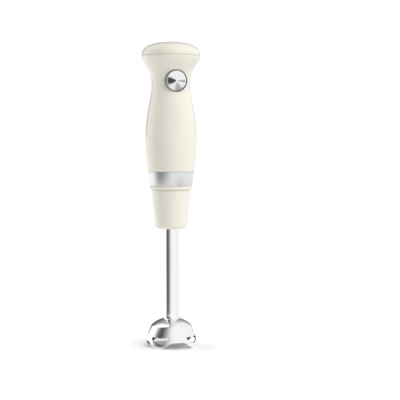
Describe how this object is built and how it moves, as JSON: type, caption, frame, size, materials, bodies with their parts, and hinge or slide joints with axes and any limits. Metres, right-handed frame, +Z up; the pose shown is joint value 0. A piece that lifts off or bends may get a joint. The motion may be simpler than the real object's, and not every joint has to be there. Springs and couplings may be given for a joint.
{
  "type": "immersion blender",
  "caption": "Hand-held electric stick blender: flared motor handle with a front push button, metal trim band, twist-lock leg and a slotted steel bell guard over a rotating blade.",
  "frame": {"origin": "on the surface it stands on, under the drive axis", "axes": "+Z up the drive axis from the blade to the cap; the power button faces -Y and the cord inlet faces +Y"},
  "size_m": [0.0732, 0.0732, 0.3833],
  "materials": {
    "cream_plastic": "glossy moulded ABS, warm cream",
    "satin_steel": "satin rolled stainless steel",
    "chromed_metal": "polished chrome plating",
    "polished_steel": "mirror polished stainless steel",
    "machined_steel": "turned and pressed steel",
    "lamination_steel": "varnished electrical steel stack",
    "enamelled_copper": "enamelled copper wire",
    "bare_copper": "turned copper segments",
    "brass": "pressed brass",
    "carbon": "pressed carbon",
    "dark_plastic": "glass-filled nylon, matte",
    "red_plastic": "moulded plastic",
    "board_laminate": "glass-epoxy laminate with a green mask",
    "yellow_film": "moulded film capacitor case",
    "rubber": "moulded rubber",
    "sintered_bronze": "oil-filled sintered bronze"
  },
  "bodies": {
    "handle": {"housing_front": "cream_plastic", "housing_rear": "cream_plastic", "housing_screws": "machined_steel", "top_cap": "cream_plastic", "trim_band": "satin_steel", "nose_ring": "cream_plastic", "lock_spigot": "dark_plastic", "cord_grommet": "rubber", "button_bezel": "chromed_metal", "switch_body": "dark_plastic", "circuit_board": "board_laminate", "board_screws": "machined_steel", "suppression_capacitor": "yellow_film", "choke_coil": "enamelled_copper", "speed_triac": "dark_plastic", "lower_bracket": "dark_plastic", "upper_bracket": "dark_plastic", "motor_screws": "machined_steel", "stator_core": "lamination_steel", "field_coils": "enamelled_copper", "lower_bearing": "machined_steel", "upper_bearing": "machined_steel", "brush_holders": "brass", "carbon_brushes": "carbon", "brush_springs": "machined_steel"},
    "button": {"power_button": "chromed_metal", "button_stem": "dark_plastic", "switch_plunger": "red_plastic"},
    "rotor": {"motor_shaft": "machined_steel", "armature_core": "lamination_steel", "armature_windings": "enamelled_copper", "commutator": "bare_copper", "cooling_fan": "dark_plastic", "drive_coupling": "dark_plastic"},
    "leg_core": {"lower_bush": "sintered_bronze", "middle_bush": "sintered_bronze", "upper_bush": "sintered_bronze", "shaft_seal": "rubber", "top_seal": "rubber"},
    "leg": {"leg_collar": "cream_plastic", "collar_insert": "dark_plastic", "leg_tube": "polished_steel", "bell_guard": "polished_steel", "bearing_housing": "machined_steel"},
    "blade_shaft": {"drive_shaft": "machined_steel", "shaft_coupling": "dark_plastic", "blade_hub": "machined_steel", "blade": "machined_steel", "blade_nut": "machined_steel", "thrust_washer": "machined_steel"}
  },
  "joints": [
    {"name": "button_press", "type": "slide", "parent": "handle", "child": "button", "axis": [0, 0.9945, 0.1045], "range_m": [0, 0.002], "stiffness_N_per_m": 1500},
    {"name": "motor_spin", "type": "hinge", "parent": "handle", "child": "rotor", "pos_m": [0, 0, 0.26], "axis": [0, 0, 1], "continuous": true},
    {"name": "leg_pull", "type": "slide", "parent": "handle", "child": "leg_core", "axis": [0, 0, -1], "range_m": [0, 0.018]},
    {"name": "leg_twist", "type": "hinge", "parent": "leg_core", "child": "leg", "pos_m": [0, 0, 0.19], "axis": [0, 0, -1], "range_deg": [0, 90]},
    {"name": "blade_spin", "type": "hinge", "parent": "leg_core", "child": "blade_shaft", "pos_m": [0, 0, 0.1], "axis": [0, 0, 1], "continuous": true}
  ],
  "couplings": [
    {"joint": "leg_twist", "follows": "leg_pull", "rad_per_m": 87.266},
    {"joint": "blade_spin", "follows": "motor_spin", "ratio": 1}
  ]
}
